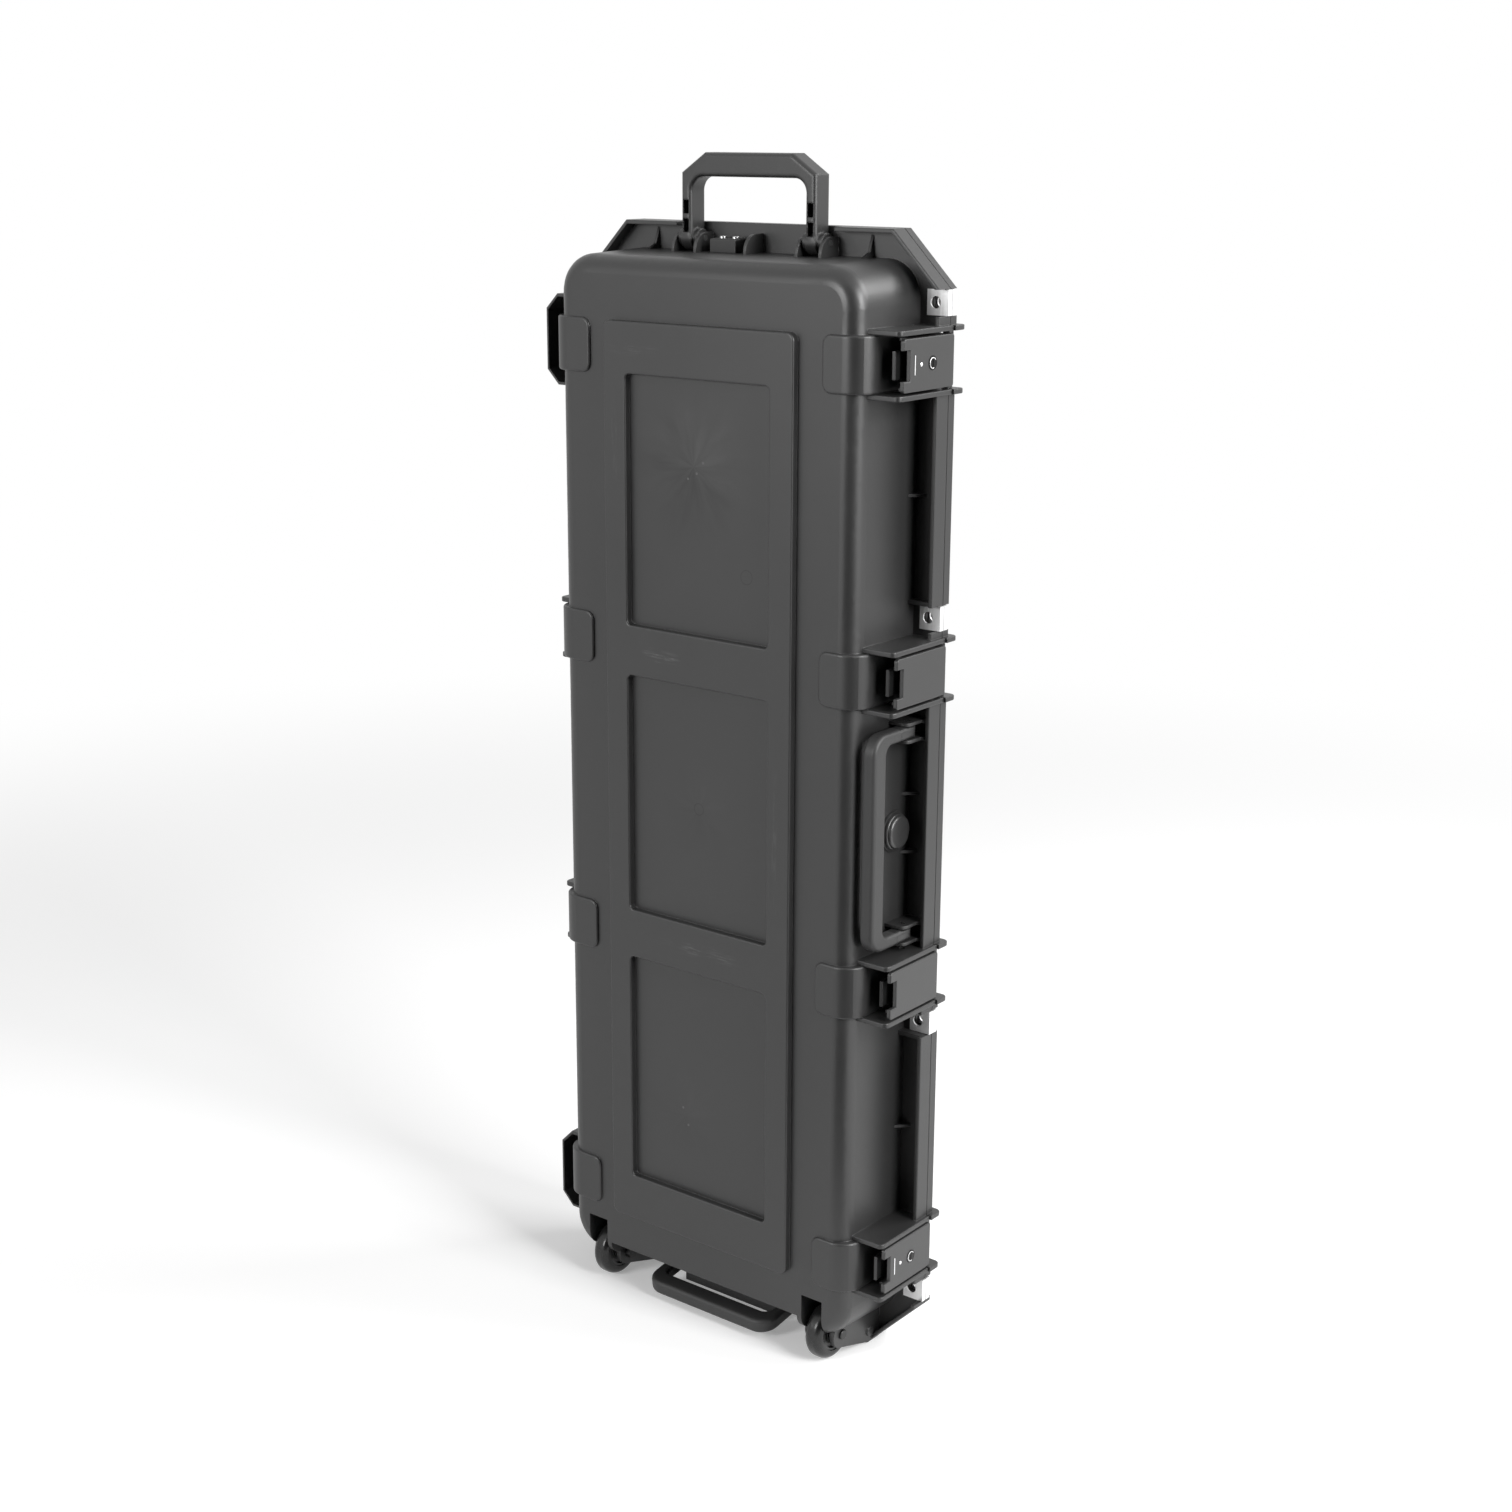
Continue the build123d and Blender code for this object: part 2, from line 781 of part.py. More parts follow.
def base_shell():
    shell = base_tub(0) - recess(0, web_front)
    shell += raised_frame(0, tub_face + wall, panel_sink)
    rim = rim_block(web_front, lip_front, base_seat)
    tow_room = span(about(0, tow_gap_half), (lip_front - overrun, web_front), (tub_top, rim_height + overrun))
    rim -= [*bay_cuts(lip_front, base_seat), tow_room]
    rim -= lock_cuts(web_front, base_seat, lip_front - overrun, web_front)
    shell += rim
    shell += fins(fin_reach, fin_start, base_seat, latch_levels, 0, 1)
    shell += fins(left_fin_reach, fin_start, base_seat, latch_levels[1:3], 0, -1)
    shell += side_pads() + feet()
    shell += gussets() + braces() + side_ears() + bottom_ears() + tow_ears() + wheel_cheeks()
    shell += skirt()
    shell += rod_x(valve_y, valve_z, valve_seat_radius, tub_half_width - wall, valve_seat)
    shell += knuckles(0, base_seat)
    shell -= base_tub(wall) - [recess(wall, base_seat + overrun), *wheel_wells(wall)]
    shell -= frame_hollow(wall, tub_face + wall + overrun, 0)
    shell += [deep(panel, panel_sink, panel_sink + wall) for panel in panel_outlines(wall)]
    shell -= wheel_wells(0) + pin_bores() + knuckle_room(1)
    shell -= hinge_bores(hinge_pin_radius + seat_gap)
    shell -= gasket_ring(gasket_side, base_seat - gasket_sink, base_seat + overrun)
    return shell


def lid_shell():
    shell = lid_tub(0) + raised_frame(lid_back, lid_face - wall, lid_back - lid_panel_sink)
    rim = rim_block(web_back, lip_back, lid_seat)
    rim -= bay_cuts(lid_seat, lip_back)
    rim -= lock_cuts(lid_seat, web_back, web_back, lip_back + overrun)
    shell += rim
    shell += fins(lid_fin_reach, lid_seat, lid_seat + lid_fin_depth, latch_levels, lid_back, 1)
    shell += knuckles(1, lid_seat)
    shell -= lid_tub(wall)
    shell -= frame_hollow(lid_back - wall, lid_face - wall - overrun, 0)
    back = lid_back - lid_panel_sink
    shell += [deep(panel, back - wall, back) for panel in panel_outlines(wall)]
    shell -= knuckle_room(0)
    shell -= hinge_bores(hinge_pin_radius + running_gap)
    reach = bay_half + fin_thick + overrun
    pin = latch_pin_radius + seat_gap
    shell -= [rod_z(latch_pivot_x, latch_pivot_y, pin, z - reach, z + reach) for z in latch_levels]
    return shell


# Each moulding is one piece on the real case. Its thin edges are saved as bodies of their own,
# which meet it face to face, in lengths that end at the latches' middles
def edge_rooms(levels, side):
    ends = [-overrun, *sorted(levels), rim_height + overrun]
    far = lid_fin_reach + overrun
    valve_room = rod_x(valve_y, valve_z, valve_seat_radius + side_gap, edge_start, valve_seat + side_gap)
    rooms = []
    for low, high in zip(ends, ends[1:]):
        room = span((side * edge_start, side * far), (-overrun, lid_back + overrun), (low, high))
        if side > 0 and low < valve_z < high:
            room -= valve_room
        rooms.append(room)
    return rooms


def taken(moulding, rooms):
    return [moulding & room for room in rooms], moulding - rooms


def parted_base():
    right, left = edge_rooms(latch_levels, 1), edge_rooms(latch_levels[1:3], -1)
    head_room = span(about(0, edge_start), (-overrun, base_seat + overrun), (head_start, rim_height + overrun))
    right_edge, rest = taken(base_shell(), right)
    left_edge, rest = taken(rest, left)
    head_edge, rest = taken(rest, [head_room])
    return rest, right_edge, left_edge, head_edge


def parted_lid():
    edge, rest = taken(lid_shell(), edge_rooms(latch_levels, 1))
    return rest, edge


def lock_plates(face, seat):
    # An angle of sheet steel: a face with the padlock hole and a turned edge
    outward = -1 if face < seam else 1
    skin = face + outward * lock_plate_thick
    out = rim_half_width + lock_plate_thick
    plates = []
    for z in lock_levels:
        plate = span((lock_plate_inner, out), (face, skin), about(z, lock_plate_half))
        plate += span((rim_half_width, out), (skin, seat), about(z, lock_plate_half))
        hole = Pos(lock_hole_x, z) * Circle(lock_hole_radius)
        plate -= deep(hole, min(face, skin) - overrun, max(face, skin) + overrun)
        plates.append(plate)
    return plates


# One latch, made at height zero
def latch_body(keyed):
    outer = fin_reach
    inner = outer - latch_plate
    middle = (latch_near + latch_far) / 2
    outline = Pos(middle, 0) * RectangleRounded(latch_far - latch_near, 2 * latch_half, latch_corner)
    plate = across(outline, inner, outer)
    notch = span((inner - overrun, outer + overrun), (latch_near - overrun, latch_near + latch_notch_depth),
                 about(0, latch_notch_half))
    plate = fillet(end_edges(plate - notch, Axis.X, outer), latch_round)
    body = plate
    for side in (-1, 1):
        edge = side * latch_half
        body += span((latch_cheek_inner, inner), (latch_cheek_near, latch_far - latch_corner),
                     (edge, edge - side * latch_cheek))
    body += rod_z(latch_pivot_x, latch_pivot_y, latch_barrel, side_gap - bay_half, bay_half - side_gap)
    body += span((latch_pivot_x, inner), (latch_far - latch_barrel, latch_pivot_y), about(0, latch_half))
    body += span((bay_ledge + hook_clear, inner), (hook_near, hook_far), about(0, hook_half))
    if keyed:
        body += rod_x(key_y, 0, key_boss, key_boss_inner, inner)
        body -= rod_x(key_y, 0, key_radius + running_gap, key_boss_inner - overrun, outer + overrun)
    body -= rod_z(latch_pivot_x, latch_pivot_y, latch_pin_radius + running_gap, -bay_half, bay_half)
    body -= rod_z(trigger_pivot_x, trigger_pivot_y, trigger_pin_radius + seat_gap, -bay_half, bay_half)
    return body


def trigger():
    # A boss on the pin, an arm towards the latch's free end, and a lip that turns outwards
    x, y = trigger_pivot_x, trigger_pivot_y
    bend = (x - trigger_lean, y - trigger_bend)
    tip = (x - trigger_lean + trigger_thick / 2, y - trigger_tip)
    points = [(x + trigger_boss / 2, y), (bend[0] + trigger_thick / 2, bend[1])]
    points += [(tip[0] + trigger_thick / 2, tip[1]), (tip[0] - trigger_thick / 2, tip[1] - trigger_thick / 4)]
    points.append((bend[0] - trigger_thick / 2, bend[1]))
    points.append((x - trigger_boss, y))
    arm = upright(closed(points), -trigger_half, trigger_half)
    boss = rod_z(x, y, trigger_boss, -trigger_half, trigger_half)
    bore = rod_z(x, y, trigger_pin_radius + running_gap, -bay_half, bay_half)
    return arm + boss - bore


def trigger_pin():
    return rod_z(trigger_pivot_x, trigger_pivot_y, trigger_pin_radius, -latch_half, latch_half)


def trigger_spring():
    path = Helix(pitch=spring_pitch, height=spring_turns * spring_pitch, radius=spring_radius)
    section = Plane(path @ 0, z_dir=path % 0) * Circle(spring_wire)
    return Pos(trigger_pivot_x, trigger_pivot_y, spring_start) * sweep(section, path=path, is_frenet=True)


def lock_cylinder():
    inner = key_boss_inner - key_cam_gap
    barrel = rod_x(key_y, 0, key_radius, key_boss_inner, fin_reach + key_proud)
    barrel -= span((fin_reach + key_proud - key_slot_depth, fin_reach + overrun), about(key_y, key_slot_half),
                   about(0, key_slot_reach))
    barrel += rod_x(key_y, 0, key_stub_radius, inner - key_cam_thick, key_boss_inner)
    cam = span((inner - key_cam_thick, inner), about(key_y, key_cam_half), (-key_cam_length, key_cam_half))
    return barrel + cam


# Carry handles: a stiff loop with a soft skin on its grip.  The grip's bar lies along Z
# at the origin, and the arms run along +Y to the pivot.
def loop_solid(half, reach, inset):
    thick = grip_thick / 2 - inset
    near = inset - grip_depth / 2
    far = reach + grip_thick
    outer = closed([(near, inset - half), (far, inset - half), (far, half - inset), (near, half - inset)])
    outer = fillet(outer.vertices().sort_by(Axis.X)[:2], handle_corner - inset)
    inner_half = half - arm_width + inset
    end = far + overrun
    inner = closed([(-near, -inner_half), (end, -inner_half), (end, inner_half), (-near, inner_half)])
    inner = fillet(inner.vertices().sort_by(Axis.X)[:2], handle_inner_corner + inset)
    loop = across(outer - inner, -thick, thick)
    if inset == 0:
        rims = end_edges(loop, Axis.X, thick) + end_edges(loop, Axis.X, -thick)
        loop = fillet([e for e in rims if e.center().Y < far - overrun], grip_round)
    keep = span((-thick, thick), (near, reach), (-half, half)) + rod_z(0, reach, thick, -half, half)
    return loop & keep


def loop_handle(half, reach):
    room = half + overrun
    near = -grip_depth
    grip_side = span((-grip_thick, grip_thick), (near, grip_split), (-room, room))
    core_side = span((-grip_thick, grip_thick), (near, grip_split + overrun), (-room, room))
    whole = loop_solid(half, reach, 0)
    grip = (whole & grip_side) - loop_solid(half, reach, grip_skin - seat_gap)
    frame = (whole - grip_side) + (loop_solid(half, reach, grip_skin) & core_side)
    return frame - rod_z(0, reach, handle_pin_radius + running_gap, -room, room), grip


def side_place():
    return Pos(side_handle_x, side_handle_y, valve_z)


def bottom_place():
    # Along X, hanging from its pivot with a small droop
    turn = Pos(0, bottom_pivot_y, bottom_pivot_z) * Rot(bottom_droop, 0, 0)
    return turn * Pos(0, -bottom_handle_arm, 0) * Rot(0, 90, 0)


def side_handle():
    frame, grip = loop_handle(side_handle_half, side_pivot_y - side_handle_y)
    return side_place() * frame, side_place() * grip


def bottom_handle():
    frame, grip = loop_handle(bottom_handle_half, bottom_handle_arm)
    return bottom_place() * frame, bottom_place() * grip


def tow_handle():
    low = tow_pivot_z
    points = [(tow_half, low), (tow_half, tow_top - tow_corner_z), (tow_half - tow_corner_x, tow_top)]
    left = [(-x, z) for x, z in reversed(points)]
    outline = closed(points + left)
    inner_half = tow_half - tow_leg
    inner_top = tow_top - tow_grip
    foot = low - overrun
    inside = [(inner_half, foot), (inner_half, inner_top)]
    inner = closed(inside + [(-x, z) for x, z in reversed(inside)])
    round_at = [v for v in inner.vertices() if v.Y > low]
    outline -= fillet(round_at, tow_inner_round)
    near, far = tow_pivot_y - tow_half_depth, tow_pivot_y + tow_half_depth
    handle = deep(outline, near, far)
    rims = end_edges(handle, Axis.Y, near) + end_edges(handle, Axis.Y, far)
    handle = fillet([e for e in rims if e.center().Z > low + overrun], tow_round)
    for x in (-1, 1):
        leg = x * (tow_half - tow_leg / 2)
        handle += rod_x(tow_pivot_y, low, tow_half_depth, leg - tow_leg / 2, leg + tow_leg / 2)
        window_top = tow_window_top
        for _ in range(2):
            handle -= span(about(leg, tow_window_half), (near - overrun, near + tow_window_deep),
                           (window_top - tow_window_height, window_top))
            window_top -= tow_window_height + tow_window_bar
    barrel_inner = tow_ear_inner + ear_thick + side_gap
    handle += both_sides(rod_x(tow_pivot_y, low, tow_barrel, barrel_inner, tow_ear_outer - side_gap))
    bore = rod_x(tow_pivot_y, low, handle_pin_radius + running_gap, tow_ear_inner, tow_ear_outer)
    return handle - both_sides(bore)


def handle_pins():
    reach = ear_thick + side_gap
    low, high = side_handle_half - arm_width - reach, side_handle_half + reach
    side = [rod_z(side_handle_x, side_pivot_y, handle_pin_radius, valve_z + low, valve_z + high)]
    side.append(rod_z(side_handle_x, side_pivot_y, handle_pin_radius, valve_z - high, valve_z - low))
    low, high = bottom_handle_half - arm_width - reach, bottom_handle_half + reach
    bottom = both_sides(rod_x(bottom_pivot_y, bottom_pivot_z, handle_pin_radius, low, high))
    tow_far = tow_ear_outer + ear_thick
    tow = both_sides(rod_x(tow_pivot_y, tow_pivot_z, handle_pin_radius, tow_ear_inner, tow_far))
    return side, bottom, tow


def handle_stop():
    top = tub_top + stop_height
    block = span((-stop_left, -stop_right), (stop_near, web_front), (tub_top - tub_draft, top)) - base_tub(0)
    block = fillet(end_edges(block, Axis.Z, top), stop_round)
    screws = []
    y = (stop_near + web_front) / 2
    for share in (1, 3):
        x = -stop_left + share * (stop_left - stop_right) / 4
        head = upright(Pos(x, y) * Circle(stop_screw_radius), top, top + stop_screw_head)
        screws.append(fillet(end_edges(head, Axis.Z, top + stop_screw_head), stop_screw_head / 2))
    return block, screws


# One wheel, at its place on the right
def wheel_parts():
    near, far = wheel_x - wheel_half, wheel_x + wheel_half
    tyre = rod_x(wheel_y, wheel_z, wheel_radius, near, far)
    tyre = fillet(tyre.edges().filter_by(GeomType.CIRCLE), tread_round)
    tyre -= rod_x(wheel_y, wheel_z, tyre_inner + seat_gap, near - overrun, far + overrun)
    near, far = wheel_x - hub_half, wheel_x + hub_half
    hub = rod_x(wheel_y, wheel_z, tyre_inner, near, far)
    for side in (near, far):
        inward = hub_dish if side == near else -hub_dish
        left, right = min(side, side + inward), max(side, side + inward)
        dish = rod_x(wheel_y, wheel_z, hub_dish_outer, left, right)
        hub -= dish - rod_x(wheel_y, wheel_z, hub_boss, left, right)
    hub -= rod_x(wheel_y, wheel_z, axle_radius + side_gap, near - overrun, far + overrun)
    bearings = []
    for left in (near, far - bearing_width):
        hub -= rod_x(wheel_y, wheel_z, bearing_outer + seat_gap, left, left + bearing_width)
        ring = rod_x(wheel_y, wheel_z, bearing_outer, left, left + bearing_width)
        bore = rod_x(wheel_y, wheel_z, axle_radius + running_gap, left - overrun, far + overrun)
        bearings.append(ring - bore)
    return tyre, hub, bearings


def axle_parts():
    inner, outer = well_sides()
    inner -= cheek_thick
    outer += cheek_thick
    shaft = rod_x(wheel_y, wheel_z, axle_radius, inner - axle_nut, outer)
    head = rod_x(wheel_y, wheel_z, axle_head_radius, outer, outer + axle_head)
    head = fillet(end_edges(head, Axis.X, outer + axle_head), bolt_round)
    nut = across(Pos(wheel_y, wheel_z) * RegularPolygon(axle_nut_radius, nut_sides), inner - axle_nut, inner)
    nut -= rod_x(wheel_y, wheel_z, axle_radius + seat_gap, inner - axle_nut - overrun, inner + overrun)
    return both_sides(shaft + head), both_sides(nut)


def valve_parts():
    body_out = valve_seat + valve_body
    body = rod_x(valve_y, valve_z, valve_radius, valve_seat, body_out)
    body = fillet(end_edges(body, Axis.X, body_out), valve_round)
    body += rod_x(valve_y, valve_z, valve_stem_radius, valve_seat - valve_stem, valve_seat)
    cap = rod_x(valve_y, valve_z, valve_cap_radius, body_out, body_out + valve_cap)
    cap = fillet(end_edges(cap, Axis.X, body_out + valve_cap), valve_cap_round)
    nut_out = tub_half_width - tub_draft - wall
    nut = rod_x(valve_y, valve_z, valve_nut_radius, nut_out - valve_nut, nut_out)
    nut -= rod_x(valve_y, valve_z, valve_stem_radius + seat_gap, nut_out - 2 * valve_nut, nut_out + overrun)
    return body, cap, nut


def guitar_outline(grow):
    # Two round bouts, a neck and a headstock
    shape = Pos(0, lower_bout_z) * Circle(lower_bout_radius + grow)
    return shape + Pos(0, upper_bout_z) * Circle(upper_bout_radius + grow)


def base_foam():
    half_width = tub_half_width - tub_draft - wall - soft_gap
    half_height = tub_half_height - tub_draft - wall - soft_gap
    near = foam_near + soft_gap
    tray = deep(tub_outline(half_width, half_height, foam_corner), near, base_seat)
    tray = fillet(end_edges(tray, Axis.Y, near), tub_edge - wall)
    tray -= deep(guitar_outline(0), pocket_floor, base_seat + overrun)
    neck = span(about(0, neck_half), (neck_floor, base_seat + overrun), (upper_bout_z, neck_end_z + overrun))
    middle = (neck_end_z + head_end_z) / 2
    head_outline = Pos(0, middle) * RectangleRounded(2 * head_half, head_end_z - neck_end_z, pocket_corner)
    tray -= [neck, deep(head_outline, neck_floor, base_seat + overrun)]
    tray -= [*wheel_wells(wall + soft_gap), recess(wall + soft_gap, base_seat + overrun)]
    nut_room = valve_nut_radius + soft_gap
    tray -= rod_x(valve_y, valve_z, nut_room, half_width - 2 * valve_nut, half_width + overrun)
    cradle = span(about(0, neck_half - soft_gap), (neck_floor + soft_gap, neck_floor + cradle_thick),
                  (cradle_low, cradle_high))
    return tray, cradle


def lid_foam():
    half_width = tub_half_width - lid_draft - wall - soft_gap
    half_height = tub_half_height - lid_draft - wall - soft_gap
    far = min(lid_face - wall, lid_back - lid_panel_sink - wall) - soft_gap
    pad = deep(tub_outline(half_width, half_height, foam_corner), lid_foam_near, far)
    return fillet(end_edges(pad, Axis.Y, far), lid_edge - wall)


def gather():
    pieces = {}
    pieces["base_shell"], right, left, head = parted_base()
    pieces["base_right_edge"], pieces["base_left_edge"], pieces["base_head_edge"] = right, left, head
    pieces["lid_shell"], pieces["lid_right_edge"] = parted_lid()
    pieces["rim_gasket"] = gasket_ring(0, base_seat - gasket_sink, base_seat + soft_gap)
    pieces["lock_plates_base"] = lock_plates(web_front, base_seat)
    pieces["lock_plates_lid"] = lock_plates(web_back, lid_seat)
    pieces["hinge_pins"] = [rod_z(hinge_x, seam, hinge_pin_radius, *about(z, hinge_half + hinge_pin_end))
                            for z in hinge_levels]
    reach = bay_half + fin_thick
    pieces["latch_pins"] = [rod_z(latch_pivot_x, latch_pivot_y, latch_pin_radius, *about(z, reach))
                            for z in latch_levels]
    plain, keyed = latch_body(False), latch_body(True)
    lever, pin, spring, cylinder = trigger(), trigger_pin(), trigger_spring(), lock_cylinder()
    for index, z in enumerate(latch_levels):
        number = index + 1
        has_key = index in keyed_latches
        pieces[f"latch_{number}"] = Pos(0, 0, z) * (keyed if has_key else plain)
        pieces[f"trigger_{number}"] = Pos(0, 0, z) * lever
        pieces[f"trigger_pin_{number}"] = Pos(0, 0, z) * pin
        pieces[f"trigger_spring_{number}"] = Pos(0, 0, z) * spring
        if has_key:
            pieces[f"lock_cylinder_{number}"] = Pos(0, 0, z) * cylinder
    pieces["side_handle_frame"], pieces["side_handle_grip"] = side_handle()
    pieces["bottom_handle_frame"], pieces["bottom_handle_grip"] = bottom_handle()
    pieces["tow_handle"] = tow_handle()
    side_pins, bottom_pins, tow_pins = handle_pins()
    pieces["side_handle_pins"] = side_pins
    pieces["bottom_handle_pins"] = bottom_pins
    pieces["tow_handle_pins"] = tow_pins
    pieces["handle_stop"], pieces["handle_stop_screws"] = handle_stop()
    tyre, hub, bearings = wheel_parts()
    for side in ("right", "left"):
        flip = side == "left"
        pieces[f"tyre_{side}"] = mirror(tyre, about=Plane.YZ) if flip else tyre
        pieces[f"wheel_hub_{side}"] = mirror(hub, about=Plane.YZ) if flip else hub
        pieces[f"wheel_bearings_{side}"] = [mirror(b, about=Plane.YZ) for b in bearings] if flip else bearings
    pieces["axles"], pieces["axle_nuts"] = axle_parts()
    pieces["valve_body"], pieces["valve_cap"], pieces["valve_nut"] = valve_parts()
    pieces["base_foam_tray"], pieces["neck_cradle"] = base_foam()
    pieces["lid_foam_pad"] = lid_foam()
    return pieces


os.makedirs("parts", exist_ok=True)
for name, piece in gather().items():
    solids = piece if isinstance(piece, list) else [piece]
    moved = [Pos(0, -middle_depth, 0) * solid for solid in solids]
    result = moved[0] if len(moved) == 1 else Compound(children=moved)
    export_step(result, f"parts/{name}.step")
print("middle depth", middle_depth)
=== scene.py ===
import math

import bmesh
import bpy
from mathutils import Matrix, Vector


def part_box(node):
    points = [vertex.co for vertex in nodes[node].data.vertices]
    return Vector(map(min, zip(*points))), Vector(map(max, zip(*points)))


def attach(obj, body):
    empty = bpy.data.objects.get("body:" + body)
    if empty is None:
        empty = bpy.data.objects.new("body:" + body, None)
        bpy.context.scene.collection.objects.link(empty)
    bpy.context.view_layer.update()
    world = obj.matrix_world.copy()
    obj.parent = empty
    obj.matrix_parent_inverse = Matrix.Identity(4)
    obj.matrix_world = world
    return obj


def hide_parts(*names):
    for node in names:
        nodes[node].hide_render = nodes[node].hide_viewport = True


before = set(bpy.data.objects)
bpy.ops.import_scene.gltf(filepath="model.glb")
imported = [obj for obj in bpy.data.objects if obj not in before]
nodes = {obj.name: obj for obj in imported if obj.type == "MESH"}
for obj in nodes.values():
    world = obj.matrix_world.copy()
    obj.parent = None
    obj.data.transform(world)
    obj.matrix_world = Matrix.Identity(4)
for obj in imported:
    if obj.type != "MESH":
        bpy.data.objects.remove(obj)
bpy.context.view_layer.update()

# Places on the case, in metres: x to the right, z up, and y from the front to the back
case = {
    "latchLevels": (1.02975, 0.73275, 0.41975, 0.12275),
    "latchFree": -0.049, "latchFace": 0.222,
    "edgeStart": 0.1885, "headStart": 1.121, "meetFrom": 0.0016, "meetTo": 0.0024,
    "frontFrom": -0.062, "frontTo": -0.056,
}


# A socket that can be used in sums: each operator adds its own Math node
class Wire:
    def __init__(self, paint, socket):
        self.paint = paint
        self.socket = socket

    def __add__(self, other):
        return self.paint.sum("ADD", self, other)

    def __radd__(self, other):
        return self.paint.sum("ADD", other, self)

    def __sub__(self, other):
        return self.paint.sum("SUBTRACT", self, other)

    def __rsub__(self, other):
        return self.paint.sum("SUBTRACT", other, self)

    def __mul__(self, other):
        return self.paint.sum("MULTIPLY", self, other)

    def __rmul__(self, other):
        return self.paint.sum("MULTIPLY", other, self)

    def __truediv__(self, other):
        return self.paint.sum("DIVIDE", self, other)

    def __rtruediv__(self, other):
        return self.paint.sum("DIVIDE", other, self)


# The nodes of one material, or of the world
class Paint:
    def __init__(self, block):
        block.use_nodes = True
        self.block = block
        self.tree = block.node_tree
        self.tree.nodes.clear()
        self.place = self.add("TexCoord", out="Object")

    def plug(self, value, socket):
        if isinstance(value, Wire):
            self.tree.links.new(value.socket, socket)
        elif socket.type == "RGBA" and not hasattr(value, "__len__"):
            socket.default_value = (value, value, value, 1)
        elif socket.type == "RGBA":
            socket.default_value = (*value, 1)
        else:
            socket.default_value = value

    def add(self, kind, settings=(), sockets=(), out=0):
        node = self.tree.nodes.new("ShaderNode" + kind)
        for name, value in dict(settings).items():
            setattr(node, name, value)
        for name, value in dict(sockets).items():
            self.plug(value, node.inputs[name])
        return Wire(self, node.outputs[out]) if node.outputs else None

    def sum(self, operation, *values):
        return self.add("Math", {"operation": operation}, enumerate(values))

    def axis(self, name):
        return self.add("SeparateXYZ", sockets={0: self.place}, out=name)

    def noise(self, scale, detail=3, stretch=(1, 1, 1), shift=(0, 0, 0), roughness=0.5):
        where = self.add("Mapping", sockets={"Vector": self.place, "Scale": stretch, "Location": shift})
        sockets = {"Vector": where, "Scale": scale, "Detail": detail, "Roughness": roughness}
        return self.add("TexNoise", sockets=sockets)

    def band(self, value, low, high):
        return self.add("MapRange", {"interpolation_type": "SMOOTHSTEP"}, {0: value, 1: low, 2: high})

    def mix(self, share, first, second):
        sockets = {0: share, 6: first, 7: second}
        return self.add("Mix", {"data_type": "RGBA"}, sockets, out=2)

    def bump(self, height, distance, strength=1.0, under=None):
        sockets = {"Height": height, "Distance": distance, "Strength": strength}
        if under is not None:
            sockets["Normal"] = under
        return self.add("Bump", sockets=sockets)

    def finish(self, **sockets):
        names = {
            "colour": "Base Color", "roughness": "Roughness", "metallic": "Metallic", "normal": "Normal",
            "gloss": "Specular IOR Level",
        }
        shader = self.add("BsdfPrincipled", sockets={names[k]: v for k, v in sockets.items()})
        self.add("OutputMaterial", sockets={"Surface": shader})
        return self.block


def newPaint(name):
    return Paint(bpy.data.materials.new(name))


# Finishes. Shades are linear greys
plastics = {
    "casePlastic": {"shade": 0.020, "roughness": 0.40, "cloud": 0.16, "grain": 0.00005, "edge": 0.0014},
    "latchPlastic": {"shade": 0.026, "roughness": 0.38, "cloud": 0.12, "grain": 0.00004, "edge": 0.0010},
    "triggerPlastic": {"shade": 0.010, "roughness": 0.30, "cloud": 0.10, "grain": 0.00002, "edge": 0.0012},
    "handlePlastic": {"shade": 0.018, "roughness": 0.36, "cloud": 0.14, "grain": 0.00005, "edge": 0.0026},
    "hubPlastic": {"shade": 0.020, "roughness": 0.34, "cloud": 0.10, "grain": 0.00004, "edge": 0.0008},
    "valvePlastic": {"shade": 0.028, "roughness": 0.30, "cloud": 0.10, "grain": 0.00003, "edge": 0.0008},
}


def meeting(paint, value, at):
    return paint.band(paint.sum("ABSOLUTE", value - at), case["meetFrom"], case["meetTo"])


# 0 where two nodes of one moulding meet, and 1 elsewhere, so that no line shows there
def offJoints(paint):
    side, level = paint.sum("ABSOLUTE", paint.axis("X")), paint.axis("Z")
    clear = meeting(paint, side, case["edgeStart"])
    outside = paint.band(side, case["edgeStart"] - case["meetTo"], case["edgeStart"])
    for at in case["latchLevels"]:
        clear = clear * (1 - (1 - meeting(paint, level, at)) * outside)
    return clear * meeting(paint, level, case["headStart"])


def mouldedPlastic(name, values):
    paint = newPaint(name)
    away = offJoints(paint) if name == "casePlastic" else 1.0
    cloud = paint.noise(7, 4, shift=(3.1, 0.4, 1.7))
    fine = paint.noise(1400, 2)
    pebble = paint.noise(420, 2, shift=(0.2, 0.7, 0.1))
    handled = paint.noise(38, 5, roughness=0.65)
    shade = values["shade"] * (1 + values["cloud"] * (2 * cloud - 1))
    roughness = values["roughness"] + 0.10 * (handled - 0.5) + 0.08 * (cloud - 0.5)
    softEdge = paint.add("Bevel", {"samples": 4}, {"Radius": values["edge"] * away})
    normal = paint.bump(fine + pebble, values["grain"], 0.6, under=softEdge)
    return paint, shade, roughness, normal


def plainPlastic(name):
    paint, shade, roughness, normal = mouldedPlastic(name, plastics[name])
    return paint.finish(colour=shade, roughness=roughness, normal=normal, gloss=0.6)


